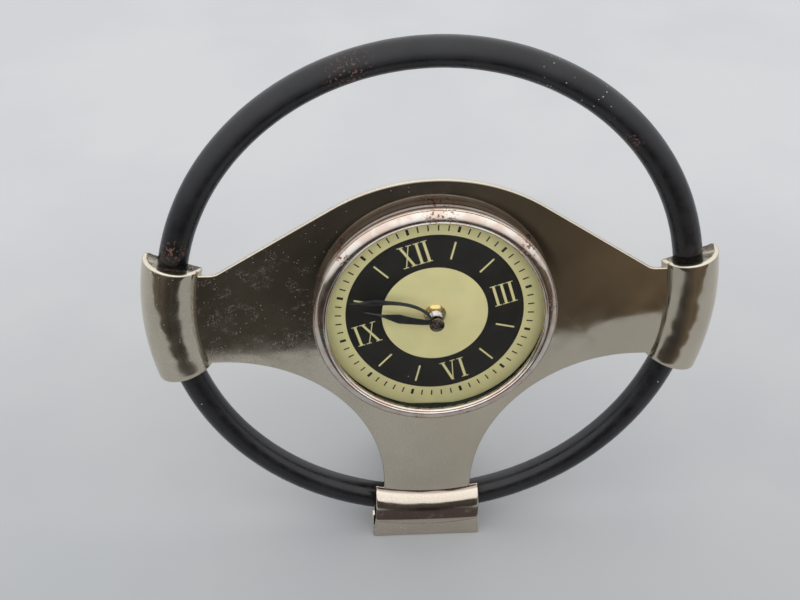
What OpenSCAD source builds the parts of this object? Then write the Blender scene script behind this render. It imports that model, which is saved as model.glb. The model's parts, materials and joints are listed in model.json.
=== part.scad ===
// Mantel clock in the shape of a three-spoke steering wheel.
// Every piece is drawn face up: X to the right, Y towards the top of the wheel, Z out of the dial,
// with the middle of the rim's tube ring at the centre. stand_up() then stands it on its foot.

/* [Wheel] */
// Outer diameter of the rim
wheel_d = 300; // [280:1:320]
// Diameter of the rim's tube
tube_d = 16; // [15:0.5:17]
// Angle by which the wheel leans back on its rear leg
lean = 8; // [6:1:9]

/* [Hub casting] */
// Height of the hub's top edge above the wheel's centre
hub_top = 78.6; // [76:0.2:82]
// Width of the bottom spoke
spoke_w = 52; // [48:1:54]
// Thickness of the hub plate
plate_t = 3; // [3:0.5:4]

/* [Clock face] */
// Outer radius of the bezel
bezel_r = 66.2; // [66:0.1:67]
// Radius of the opening inside the bezel's lip
lip_r = 58.6; // [57:0.1:59]
// Minutes past nine that the hands show
shown_minutes = 50; // [0:1:59]
// Angle by which the dial is turned anticlockwise in its bezel
dial_turn = 18; // [0:1:30]

/* [Movement] */
// Side of the square movement case
case_w = 56; // [56:0.5:58]
// Depth of the movement case
case_t = 16.5; // [16.5:0.1:18]

/* [Hidden] */
$fn = 96;
eps = 0.01;
running = 0.05;      // radial clearance of a shaft that turns in its hole

// Rim and saddles
tube_r = tube_d / 2;
tube_wall = 1.5;
ring_r = wheel_d / 2 - tube_r;
saddle_r = 16;       // outer radius of a saddle's half-round section
saddle_wall = 3.5;
saddle_z = 2;        // the section's centre lies this far in front of the tube's
saddle_back = -2;    // the outer wall reaches back to here
inner_back = 4;      // a side saddle's wall next to the hub plate reaches back to here
foot_inner_back = 9; // and the bottom saddle's to here
seat_back = 2.5;     // the tube seats reach back to here
side_drop = 1.5;     // side saddles sit this many degrees below the horizontal
side_half = 13.7;    // half of the angle that a side saddle covers
foot_saddle_w = 62;  // the bottom saddle is cut straight at this width
foot_half = 16;      // half of the angle it is swept over before the cut
seat_half = 3;       // half of the angle of the tube seat inside a saddle
saddle_angles = [-side_drop, 180 + side_drop, 270];
rim_screw_r = 1.9;
rim_hole_r = 2.1;
rim_screw_l = 22;
rim_thread = 7.5;    // depth of the threaded hole in the saddle
slot_w = 0.7;        // arms of the cross in a pan-head screw

// Hub plate
plate_front = 10;
plate_back = plate_front - plate_t;
arm_end = 129;       // the side arms end inside the saddles' inner walls
arm_top = 24.5;
arm_bottom = -31;
crown_r = 105;       // arc over the top of the hub
crown_angle = 31.8;  // where the arc passes into the straight shoulder
bay_r = 90;          // concave arc between the bottom spoke and a side arm
notch_r = 9;         // fillet between the shoulder and the end of the arm

// Foot
foot_front = 16;
foot_wall = 4;
foot_w = 65;
foot_low = -156.8;   // underside at the depth of the saddle's centre
sole_back = -1.5;
foot_mid_z = (foot_front + sole_back) / 2;
foot_mid_y = foot_low - (foot_mid_z - saddle_z) * tan(lean);

// Clock face
bezel_wall_r = 62.9; // inner wall, behind the lip
base_r = 65.2;       // the bead at the bezel's foot
bead_r = 0.9;
bezel_neck_r = 64.6;
roll_r = 4.6;        // half-round front of the bezel
roll_z = 17.4;
lip_z = 19.4;
backing_t = 2;
dial_t = 0.8;
backing_r = 62.5;
backing_front = plate_front + backing_t;
dial_r = 60.8;
dial_flat = 59.6;    // the dial is cut straight this far below its centre
dial_front = backing_front + dial_t;
lens_sag = 8.5;
lens_t = 1.2;
lens_rim_z = 18.3;
lens_rim_t = 1;
dome_r = 57.6;
lens_sphere = (dome_r * dome_r + lens_sag * lens_sag) / (2 * lens_sag);
bezel_screw_at = 63.75;
bezel_screw_angles = [90, 210, 330];
bezel_screw_r = 0.7;

// Centre post
bush_r = 4;
bush_bore = 2.6;
bush_end = 20.4;
hour_tube_r = bush_bore - running;
hour_bore = 1.6;
minute_r = hour_bore - running;
hour_hand_z = 21;
minute_hand_z = 22.6;
hand_t = 0.5;
hand_droop = 5.5;    // the blades slope down by this angle
post_end = 24.6;
twelve = 90 + dial_turn;
minute_angle = twelve - 6 * shown_minutes;
hour_angle = twelve - 270 - shown_minutes / 2;

// Movement: depths are measured backwards from its front face
move_front = plate_back - 1;
wall = 1.5;
inner_w = case_w / 2 - wall;
split = 9;           // the front case and the rear cover meet at this depth
bay_wall_y = -10.5;  // wall between the wheels and the battery
arbor_r = 0.6;
fine_arbor_r = 0.4;
pivot_from = 0.3;    // the arbors reach from here
pivot_to = 16.2;     // to here
cannon_teeth = 15;
motion_teeth = 45;
motion_pinion = 12;
hour_teeth = 48;
knob_teeth = 15;
centre_teeth = 80;
third_pinion = 10;
third_teeth = 60;
second_pinion = 8;
second_teeth = 50;
inter_pinion = 10;
inter_teeth = 48;
rotor_teeth = 8;
// Modules of the gears
motion_m = 0.35;
train_m = 0.22;
second_m = 0.34;
motion_x = -motion_m * (cannon_teeth + motion_teeth) / 2;
knob_far = motion_m * (knob_teeth + motion_teeth) / 2;
knob_at = [motion_x + knob_far * cos(120), knob_far * sin(120)];
third_x = train_m * (centre_teeth + third_pinion) / 2;
third_m = 2 * third_x / (third_teeth + second_pinion);
inter_y = second_m * (second_teeth + inter_pinion) / 2;
rotor_far = train_m * (inter_teeth + rotor_teeth) / 2;
rotor_at = [rotor_far * cos(45), inter_y + rotor_far * sin(45)];
coil_x = 20;
coil_low = 11.8;
coil_high = 22.6;
coil_depth = 9.3;
battery_y = -19;
battery_depth = 9;
battery_r = 7.1;
battery_l = 50.5;

function arc(cx, cy, r, from, to, steps) =
    [for (i = [0:steps]) let (a = from + (to - from) * i / steps) [cx + r * cos(a), cy + r * sin(a)]];
function mirrored(points) = [for (i = [len(points) - 1:-1:0]) [-points[i][0], points[i][1]]];

module stand_up() rotate([90 - lean, 0, 0]) translate([0, -foot_mid_y, -foot_mid_z]) children();
module at_z(z, x = 0, y = 0) translate([x, y, z]) children();
// A flat piece of the movement, from depth to depth + thick
module layer(depth, thick, x = 0, y = 0) translate([x, y, move_front - depth - thick])
    linear_extrude(thick) children();
module rod(from, to, r, x = 0, y = 0) layer(from, to - from, x, y) circle(r);
module along_x(w) translate([-w / 2, 0, 0]) rotate([90, 0, 90]) linear_extrude(w) children();
module around(angles, r) for (a = angles) translate([r * cos(a), r * sin(a), 0]) children();

// ---- Rim ----

module rim_section() translate([ring_r, 0]) difference() {
    circle(tube_r);
    circle(tube_r - tube_wall);
}

module rim() color([0.05, 0.055, 0.06]) stand_up() difference() {
    rotate_extrude() rim_section();
    around(saddle_angles, ring_r) at_z(-tube_d) cylinder(r = rim_hole_r, h = 2 * tube_d);
}

module pan_screw(r, head_r, head_t, length) {
    at_z(-eps) cylinder(r = r, h = length + eps);
    difference() {
        at_z(-head_t) cylinder(r = head_r, h = head_t);
        at_z(-head_t - eps) linear_extrude(head_t * 0.6) {
            square([head_r, slot_w], center = true);
            square([slot_w, head_r], center = true);
        }
    }
}

module rim_screws() color("silver") stand_up()
    around(saddle_angles, ring_r) at_z(-tube_r - 0.4) pan_screw(rim_screw_r, 3.8, 2.4, rim_screw_l);

// ---- Hub casting ----

shoulder_x = crown_r * sin(crown_angle);
shoulder_y = hub_top - crown_r * (1 - cos(crown_angle));
// Where the fillet touches the shoulder line and the top of the arm
notch_x = shoulder_x + (shoulder_y - arm_top) / tan(crown_angle);
notch_l = notch_r * tan(crown_angle / 2);
bay_x = spoke_w / 2 + bay_r;
bay_y = arm_bottom - bay_r;

right_side = concat(
    arc(0, hub_top - crown_r, crown_r, 90, 90 - crown_angle, 14),
    arc(notch_x + notch_l, arm_top + notch_r, notch_r, 270 - crown_angle, 270, 4),
    [[arm_end, arm_top], [arm_end, arm_bottom]],
    arc(bay_x, bay_y, bay_r, 90, 180, 22),
    [[spoke_w / 2, -arm_end]]);

module plate_outline() polygon(concat(right_side, mirrored(right_side)));

module saddle_section(wall_back) difference() {
    translate([ring_r, saddle_z]) circle(saddle_r);
    translate([ring_r, saddle_z]) circle(saddle_r - saddle_wall);
    translate([ring_r, saddle_back - 2 * saddle_r]) square(2 * saddle_r);
    translate([ring_r - 2 * saddle_r, wall_back - 2 * saddle_r]) square([2 * saddle_r + eps, 2 * saddle_r]);
}

module seat_section() difference() {
    translate([ring_r, saddle_z]) circle(saddle_r - saddle_wall / 2);
    translate([ring_r, 0]) circle(tube_r + 0.06);
    translate([ring_r - 2 * saddle_r, seat_back - 4 * saddle_r]) square(4 * saddle_r);
}

module swept(middle, half) rotate([0, 0, middle - half]) rotate_extrude(angle = 2 * half) children();

// Front apron and sole that square the bottom saddle off into a foot
module foot_section() {
    translate([foot_low - saddle_r, foot_front - foot_wall])
        square([-ring_r - foot_low + saddle_r, foot_wall]);
    translate([foot_low - saddle_r, sole_back]) square([saddle_r + 3.3, foot_front - sole_back - 1]);
}

module casting() {
    at_z(plate_back) linear_extrude(plate_t) plate_outline();
    for (a = saddle_angles) swept(a, seat_half) seat_section();
    for (a = [saddle_angles[0], saddle_angles[1]]) swept(a, side_half) saddle_section(inner_back);
    intersection() {
        swept(saddle_angles[2], foot_half) saddle_section(foot_inner_back);
        translate([-foot_saddle_w / 2, -wheel_d, -wheel_d / 2]) cube([foot_saddle_w, wheel_d, wheel_d]);
    }
    along_x(foot_w) foot_section();
}

module hub_casting() color([0.72, 0.7, 0.66]) difference() {
    stand_up() difference() {
        casting();
        at_z(plate_back - 1) cylinder(r = bush_r + 0.3, h = plate_t + 2);
        around(bezel_screw_angles, bezel_screw_at) at_z(plate_back - 1)
            cylinder(r = bezel_screw_r + 0.2, h = plate_t + 2);
        around(saddle_angles, ring_r) at_z(tube_r - 1) cylinder(r = rim_screw_r + running, h = rim_thread);
        for (x = leg_screws_x) translate([x, leg_screw_y, plate_back - 1])
            cylinder(r = leg_screw_r + running, h = leg_thread + 1.2);
    }
    translate([-foot_w, -foot_w, -foot_w]) cube([2 * foot_w, 2 * foot_w, foot_w]);
}

// ---- Bezel, lens and dial ----

module bezel_profile() difference() {
    union() {
        translate([base_r - bead_r, plate_front + bead_r]) circle(bead_r);
        translate([bezel_wall_r, plate_front]) square([bezel_neck_r - bezel_wall_r, roll_z - plate_front]);
        translate([bezel_r - roll_r, roll_z]) circle(roll_r);
        polygon([[lip_r, lip_z], [bezel_wall_r, lip_z], [bezel_wall_r, lip_z + 2],
            [lip_r + 1, lip_z + 2], [lip_r, lip_z + 1.2]]);
    }
    translate([lip_r - 9, plate_front - 9]) square([bezel_wall_r - lip_r + 9, lip_z - plate_front + 9]);
    translate([lip_r - 9, lip_z - eps]) square([9, 9]);
    translate([lip_r + 1.6, lip_z + 2.3]) circle(0.7);
}

module bezel() color([0.78, 0.74, 0.72]) stand_up() difference() {
    rotate_extrude($fn = 180) bezel_profile();
    around(bezel_screw_angles, bezel_screw_at) at_z(plate_front - eps)
        cylinder(r = bezel_screw_r + running, h = 5.5);
}

module bezel_screws() color("silver") stand_up()
    around(bezel_screw_angles, bezel_screw_at) at_z(plate_back)
    pan_screw(bezel_screw_r, 1.8, 1.2, plate_t + 5);

module lens_profile() {
    intersection() {
        translate([0, lens_rim_z + lens_rim_t + lens_sag - lens_sphere]) difference() {
            circle(lens_sphere, $fn = 360);
            circle(lens_sphere - lens_t, $fn = 360);
        }
        translate([0, lens_rim_z]) square([dome_r, lens_sag + 3]);
    }
    translate([dome_r - 4.5, lens_rim_z]) square([bezel_wall_r - 0.4 - dome_r + 4.5, lens_rim_t]);
}

module lens() color([0.9, 0.95, 0.95, 0.25]) stand_up() rotate_extrude() lens_profile();

module lens_spacer() color([0.1, 0.1, 0.09]) stand_up() at_z(backing_front + 0.05) difference() {
    cylinder(r = bezel_wall_r - 0.1, h = lens_rim_z - backing_front - 0.1);
    at_z(-1) cylinder(r = bezel_wall_r - 1, h = lens_rim_z - backing_front + 2);
}

module dial_backing() color([0.25, 0.25, 0.22]) stand_up() at_z(plate_front) difference() {
    cylinder(r = backing_r, h = backing_t);
    at_z(-1) cylinder(r = bush_r + 0.3, h = backing_t + 2);
}

module dial_plate() color([0.8, 0.77, 0.55]) stand_up() at_z(backing_front) difference() {
    cylinder(r = dial_r, h = dial_t);
    at_z(-1) cylinder(r = bush_r + 0.3, h = dial_t + 2);
    translate([-dial_r, -dial_flat - dial_r, -1]) cube([2 * dial_r, dial_r, dial_t + 2]);
}

// ---- Rear leg ----

leg_w = 36;
leg_t = 3;
leg_flange_top = -40;
leg_bend = -66;
leg_screw_y = -52;
leg_screws_x = [-10, 10];
leg_screw_r = 1.9;
leg_thread = 2;      // how deep the leg's screws reach into the hub plate
leg_reach = 80;      // how far behind the foot the leg touches down
leg_sole_l = 16;
pad_t = 3;

// A point given behind the foot and above the ground, in the face-up frame's Y and Z
function from_ground(back, up) = [
    foot_mid_y + back * sin(lean) + up * cos(lean),
    foot_mid_z - back * cos(lean) + up * sin(lean)];

module strip(a, b) {
    turn = atan2(b[1] - a[1], b[0] - a[0]);
    translate(a) rotate([0, 0, turn]) translate([0, -leg_t / 2]) square([norm(b - a), leg_t]);
    translate(a) circle(leg_t / 2);
    translate(b) circle(leg_t / 2);
}

module leg_blank() {
    bend = [leg_bend, plate_back - leg_t / 2];
    sole = pad_t + leg_t / 2;
    strip([leg_flange_top, plate_back - leg_t / 2], bend);
    strip(bend, from_ground(leg_reach, sole));
    strip(from_ground(leg_reach, sole), from_ground(leg_reach + leg_sole_l, sole));
}

module support_leg() color("dimgray") stand_up() difference() {
    along_x(leg_w) leg_blank();
    for (x = leg_screws_x) translate([x, leg_screw_y, plate_back - 9]) cylinder(r = 2.1, h = 18);
}

module leg_screws() color("silver") stand_up()
    for (x = leg_screws_x) translate([x, leg_screw_y, plate_back - leg_t])
    pan_screw(leg_screw_r, 3.6, 2.2, leg_t + leg_thread);

module leg_pad() color("black") difference() {
    translate([-leg_w / 2, leg_reach, 0]) cube([leg_w, leg_sole_l, pad_t]);
    for (x = [-leg_w / 4, leg_w / 4]) translate([x, leg_reach + leg_sole_l / 2, -eps]) cylinder(r = 2, h = 1);
}

// ---- Centre post and hands ----

module rubber_washer() color("black") stand_up() at_z(move_front) difference() {
    cylinder(r = 9, h = plate_back - move_front);
    at_z(-1) cylinder(r = bush_r + 0.2, h = 4);
}

module centre_bushing() color("silver") stand_up() difference() {
    union() {
        at_z(move_front - wall) cylinder(r = bush_r, h = bush_end - move_front + wall);
        at_z(move_front - 2) cylinder(r = 6, h = 0.5);
    }
    at_z(move_front - 3) cylinder(r = bush_bore, h = bush_end + 5);
}

module dial_washer() color("gold") stand_up() at_z(dial_front) difference() {
    cylinder(r = 6, h = 0.5);
    at_z(-1) cylinder(r = bush_r + 0.1, h = 3);
}

module bushing_nut() color("gold") stand_up() at_z(dial_front + 0.5) difference() {
    cylinder(r = 5.6, h = 2.4, $fn = 6);
    at_z(-1) cylinder(r = bush_r + 0.02, h = 5);
}

module leaf(length, width) polygon([[0, 0.7], [length * 0.3, 0.8], [length * 0.55, width / 2],
    [length * 0.8, 0.5], [length, 0.15], [length, -0.15], [length * 0.8, -0.5],
    [length * 0.55, -width / 2], [length * 0.3, -0.8], [0, -0.7]]);

// A hand whose leaf-shaped blade points along X and slopes down towards the dial
module hand(length, width, hub_r, bore) difference() {
    union() {
        cylinder(r = hub_r, h = hand_t);
        intersection() {
            rotate([0, hand_droop, 0]) linear_extrude(hand_t) leaf(length, width);
            translate([hub_r - 0.8, -width, -length]) cube([length, 2 * width, 2 * length]);
        }
    }
    at_z(-1) cylinder(r = bore, h = 3);
}

module hour_hand() color("black") stand_up() at_z(hour_hand_z) rotate([0, 0, hour_angle])
    hand(39, 6, 3.6, hour_tube_r);

module minute_hand() color("black") stand_up() at_z(minute_hand_z) rotate([0, 0, minute_angle])
    hand(48, 4.6, 3.2, minute_r);

module hand_nut() color([0.2, 0.17, 0.15]) stand_up() at_z(minute_hand_z + hand_t) difference() {
    cylinder(r = 4.1, h = post_end - minute_hand_z - hand_t);
    at_z(-1) cylinder(r = minute_r, h = 2);
}

// ---- Wheels ----

// Straight-sided teeth; a tooth stands at the angle phase
module toothed(n, m, phase = 0, bore = 0) difference() {
    polygon([for (i = [0:n - 1]) for (p = [[-0.29, -1], [-0.12, 0.7], [0.12, 0.7], [0.29, -1]])
        let (a = phase + 360 * (i + p[0]) / n, r = m * (n / 2 + p[1])) [r * cos(a), r * sin(a)]]);
    if (bore > 0) circle(bore);
}
// Phase of a wheel of n teeth with a gap facing the direction toward
function gap(toward, n) = toward + 180 / n;

module hour_wheel() color("ivory") stand_up() {
    layer(2, 1) toothed(hour_teeth, motion_m, gap(180, hour_teeth), hour_bore);
    difference() {
        at_z(move_front - 3) cylinder(r = hour_tube_r, h = hour_hand_z + hand_t - move_front + 3);
        at_z(move_front - 4) cylinder(r = hour_bore, h = 40);
    }
}

module minute_arbor() color("lightgray") stand_up() {
    at_z(move_front - 5.8) cylinder(r = minute_r, h = minute_hand_z + hand_t - move_front + 5.8);
    layer(4, 1) toothed(cannon_teeth, motion_m, 180);
    rod(5.8, 8, 0.9);
}

module motion_wheel() color("ivory") stand_up() {
    rod(pivot_from, pivot_to, arbor_r, motion_x);
    layer(4, 1, motion_x) toothed(motion_teeth, motion_m, gap(0, motion_teeth));
    layer(2, 1, motion_x) toothed(motion_pinion, motion_m, 0);
}

module setting_knob() color("red") stand_up() {
    rod(3, 18, 1, knob_at[0], knob_at[1]);
    layer(4, 1, knob_at[0], knob_at[1]) toothed(knob_teeth, motion_m, 300);
    difference() {
        rod(17, 20, 5, knob_at[0], knob_at[1]);
        for (i = [0:23]) layer(16, 5, knob_at[0] + 5.3 * cos(15 * i), knob_at[1] + 5.3 * sin(15 * i))
            circle(0.5, $fn = 24);
    }
}

module centre_wheel() color("ivory") stand_up() layer(6, 1)
    toothed(centre_teeth, train_m, gap(0, centre_teeth), 0.9 + running);

module third_wheel() color("ivory") stand_up() {
    rod(pivot_from, pivot_to, arbor_r, third_x);
    layer(6, 1, third_x) toothed(third_pinion, train_m, 180);
    layer(8.5, 0.8, third_x) toothed(third_teeth, third_m, 180);
}

module seconds_wheel() color("ivory") stand_up() {
    rod(8.3, pivot_to, arbor_r);
    layer(8.4, 1.1) toothed(second_pinion, third_m, gap(0, second_pinion));
    layer(10.5, 0.8) toothed(second_teeth, second_m, 90);
}

module intermediate_wheel() color("ivory") stand_up() {
    rod(pivot_from, pivot_to, fine_arbor_r, 0, inter_y);
    layer(10.4, 1.1, 0, inter_y) toothed(inter_pinion, second_m, gap(270, inter_pinion));
    layer(12.3, 0.8, 0, inter_y) toothed(inter_teeth, train_m, 45);
}

module rotor() color("darkgray") stand_up() {
    rod(pivot_from, pivot_to, fine_arbor_r, rotor_at[0], rotor_at[1]);
    layer(12.2, 1.1, rotor_at[0], rotor_at[1]) toothed(rotor_teeth, train_m, gap(225, rotor_teeth));
    rod(8, 11.5, 3, rotor_at[0], rotor_at[1]);
}

// ---- Motor and electronics ----

module stator() color("silver") stand_up() layer(coil_depth - 0.5, 1) difference() {
    union() {
        translate(rotor_at) circle(5.2);
        translate([rotor_at[0], 9.5]) square([coil_x + 1 - rotor_at[0], 2]);
        translate([rotor_at[0] - 2, rotor_at[1]]) square([4, 25 - rotor_at[1]]);
        translate([rotor_at[0] - 2, 23]) square([coil_x + 3 - rotor_at[0], 2]);
        translate([coil_x - 1, 9.5]) square([2, 15.5]);
    }
    translate(rotor_at) circle(3.5);
}

module coil_tube(r, from, to) translate([coil_x, to, move_front - coil_depth]) rotate([90, 0, 0])
    cylinder(r = r, h = to - from);

module coil_bobbin() color("white") stand_up() difference() {
    union() {
        coil_tube(2.2, coil_low, coil_high);
        coil_tube(4.2, coil_low, coil_low + 0.8);
        coil_tube(4.2, coil_high - 0.8, coil_high);
    }
    translate([coil_x - 1.05, coil_low - 1, move_front - coil_depth - 0.55]) cube([2.1, 13, 1.1]);
}

module coil_winding() color([0.7, 0.35, 0.15]) stand_up() difference() {
    coil_tube(3.9, coil_low + 0.8, coil_high - 0.8);
    coil_tube(2.2, coil_low, coil_high);
}

module circuit_board() color("darkgreen") stand_up() difference() {
    layer(12, 1) translate([-25, 12]) square([13, 13]);
    layer(11, 3, -14, 14) circle(0.8);
}

module quartz_crystal() color("silver") stand_up()
    translate([-19, 21, move_front - 10.9]) rotate([90, 0, 0]) cylinder(r = 1.05, h = 6);

// ---- Movement case ----

module pivots(depth) {
    for (p = [[motion_x, 0], [third_x, 0]]) layer(depth - 1, wall + 2, p[0], p[1]) circle(arbor_r + running);
    for (p = [[0, inter_y], rotor_at]) layer(depth - 1, wall + 2, p[0], p[1]) circle(fine_arbor_r + running);
}

module front_case() color([0.1, 0.1, 0.11]) stand_up() difference() {
    layer(0, split) square(case_w, center = true);
    layer(wall, split) square(2 * inner_w, center = true);
    layer(-1, 4) circle(bush_r + 0.02);
    pivots(0);
}

module rear_cover() color([0.12, 0.12, 0.13]) stand_up() difference() {
    union() {
        difference() {
            layer(split, case_t - split) square(case_w, center = true);
            layer(split - 1, case_t - split - wall + 1) square(2 * inner_w, center = true);
        }
        layer(2, case_t - 2) translate([-inner_w, bay_wall_y]) square([2 * inner_w, 1]);
    }
    layer(case_t - wall - 1, wall + 2) translate([-25.4, battery_y - 7.4]) square([50.8, 14.8]);
    layer(case_t - wall - 1, wall + 2, knob_at[0], knob_at[1]) circle(1 + running);
    layer(case_t - wall - 1, wall + 2) circle(arbor_r + running);
    pivots(case_t - wall);
}

module contact(side) color("silver") stand_up() {
    layer(3, 11.5) translate([side > 0 ? 25.6 : -26.2, battery_y - 5]) square([0.6, 10]);
    layer(13.7, 0.8) translate([side > 0 ? 22 : -26.2, battery_y + 7.3]) square([4.2, 0.9]);
    layer(13.7, 0.8) translate([side > 0 ? 25.6 : -26.2, battery_y + 4.9]) square([0.6, 3.3]);
}
module contact_positive() contact(1);
module contact_negative() contact(-1);

module battery() color([0.15, 0.25, 0.45]) stand_up()
    translate([-battery_l / 2, battery_y, move_front - battery_depth]) rotate([0, 90, 0]) {
        cylinder(r = battery_r, h = battery_l - 1.4);
        cylinder(r = 2.7, h = battery_l);
    }

rim();
rim_screws();
hub_casting();
bezel();
bezel_screws();
lens();
lens_spacer();
dial_backing();
dial_plate();
support_leg();
leg_screws();
leg_pad();
rubber_washer();
centre_bushing();
dial_washer();
bushing_nut();
hour_hand();
minute_hand();
hand_nut();
hour_wheel();
minute_arbor();
motion_wheel();
setting_knob();
centre_wheel();
third_wheel();
seconds_wheel();
intermediate_wheel();
rotor();
stator();
coil_bobbin();
coil_winding();
circuit_board();
quartz_crystal();
front_case();
rear_cover();
contact_positive();
contact_negative();
battery();
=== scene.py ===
"""Looks of the steering-wheel mantel clock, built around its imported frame.

Shapes are given in the clock's face-up frame: millimetres, X to the right, Y towards the top of the wheel,
Z out of the dial, with the middle of the rim's tube ring at the centre.
"""
import json
import math

import bmesh
import bpy
from mathutils import Matrix, Vector


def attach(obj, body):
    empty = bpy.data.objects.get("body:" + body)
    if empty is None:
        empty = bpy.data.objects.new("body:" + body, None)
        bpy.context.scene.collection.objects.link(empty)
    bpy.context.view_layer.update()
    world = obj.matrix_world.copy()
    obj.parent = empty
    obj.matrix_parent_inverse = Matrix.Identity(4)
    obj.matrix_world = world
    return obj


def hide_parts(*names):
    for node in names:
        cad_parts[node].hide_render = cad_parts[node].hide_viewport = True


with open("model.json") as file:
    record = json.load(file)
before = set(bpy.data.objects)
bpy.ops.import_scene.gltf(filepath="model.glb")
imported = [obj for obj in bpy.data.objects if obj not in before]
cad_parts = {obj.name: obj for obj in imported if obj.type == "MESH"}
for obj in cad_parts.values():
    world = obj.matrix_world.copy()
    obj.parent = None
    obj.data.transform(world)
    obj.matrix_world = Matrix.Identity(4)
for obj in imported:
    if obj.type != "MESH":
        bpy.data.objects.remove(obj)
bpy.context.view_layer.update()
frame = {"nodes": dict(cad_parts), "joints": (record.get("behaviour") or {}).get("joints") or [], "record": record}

# ---- The face-up frame, from the joint at the dial's centre ----

JOINT_DEPTH = 4.0    # the joint's point lies this far in front of the ring's middle plane
spin = next(j for j in frame["joints"] if j["name"] == "minute_spin")
outward = -Vector(spin["axis"]).normalized()
across = Vector((1, 0, 0))
upward = outward.cross(across)
turned = Matrix((across, upward, outward)).transposed()
centre = Vector(spin["pos_m"]) - outward * JOINT_DEPTH / 1000
FACE = Matrix.Translation(centre) @ turned.to_4x4() @ Matrix.Scale(0.001, 4)
TO_FACE = FACE.inverted()
LEAN = math.asin(outward.z)


def extent(node):
    """Lowest and highest corner of a CAD node in the face-up frame."""
    points = [TO_FACE @ v.co for v in frame["nodes"][node].data.vertices]
    return [Vector([pick(p[i] for p in points) for i in range(3)]) for pick in (min, max)]


# ---- Sizes that several pieces share ----

rim_high = extent("rim")[1]
TUBE_R = rim_high.z
RING_R = rim_high.x - TUBE_R
bezel_low, bezel_high = extent("bezel")
BEZEL_R = bezel_high.x
BASE_R = 65.2        # outer radius of the bezel's foot
WALL_R = 62.9        # inner radius of the bezel's wall
PLATE_T = 3.0
PLATE_FRONT = bezel_low.z
PLATE_BACK = PLATE_FRONT - PLATE_T
dial_low, dial_high = extent("dial_plate")
DIAL_FRONT = dial_high.z

# ---- Mesh helpers ----

WELD = 2e-6          # points closer than this many metres are joined
PLATE_MARGIN = 0.5   # flat border inside a plate's rounded edge
SWEEP_MARGIN = 0.4   # the same on the ends of a sweep
FINE_STEPS = 288     # steps round the largest turned pieces
SMALL_STEPS = 64     # and round the smallest
BLOCK_FACES = ((3, 2, 1, 0), (4, 5, 6, 7), (0, 1, 5, 4), (1, 2, 6, 5), (2, 3, 7, 6), (3, 0, 4, 7))


def arc(cx, cy, r, start, end, steps):
    angles = [math.radians(start + (end - start) * i / steps) for i in range(steps + 1)]
    return [(cx + r * math.cos(a), cy + r * math.sin(a)) for a in angles]


def quarter(radius, steps):
    """A rounded edge, as (distance in from the side, depth below the face) pairs."""
    angles = [math.pi / 2 * k / steps for k in range(steps + 1)]
    return [(radius * (1 - math.sin(a)), radius * (1 - math.cos(a))) for a in angles]


def polar(r, angle, z=0.0):
    a = math.radians(angle)
    return (r * math.cos(a), r * math.sin(a), z)


def turned_by(angle, points):
    a = math.radians(angle)
    return [(x * math.cos(a) - y * math.sin(a), x * math.sin(a) + y * math.cos(a)) for x, y in points]


def rounded(corners, radius, steps=4, least=25):
    """The closed outline with every corner that turns more than least degrees rounded off."""
    points = []
    for i, corner in enumerate(corners):
        b = Vector(corner)
        u = Vector(corners[i - 1]) - b
        v = Vector(corners[(i + 1) % len(corners)]) - b
        turn = math.pi - u.angle(v)
        if turn < math.radians(least):
            points.append(b)
            continue
        cut = min(radius * math.tan(turn / 2), 0.45 * u.length, 0.45 * v.length)
        r = cut / math.tan(turn / 2)
        middle = b + (u.normalized() + v.normalized()).normalized() * r / math.cos(turn / 2)
        p = b + u.normalized() * cut - middle
        q = b + v.normalized() * cut - middle
        start = math.atan2(p.y, p.x)
        sweep = (math.atan2(q.y, q.x) - start + math.pi) % (2 * math.pi) - math.pi
        for k in range(steps + 1):
            a = start + sweep * k / steps
            points.append(middle + Vector((math.cos(a), math.sin(a))) * r)
    return points


def inset(outline, distance):
    """The anticlockwise outline moved inwards."""
    points = []
    for i, point in enumerate(outline):
        b = Vector(point)
        u = (b - Vector(outline[i - 1])).normalized()
        v = (Vector(outline[(i + 1) % len(outline)]) - b).normalized()
        normal = Vector((-u.y - v.y, u.x + v.x)).normalized()
        points.append(b + normal * distance / max(0.3, normal.dot(Vector((-u.y, u.x)))))
    return points


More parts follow.
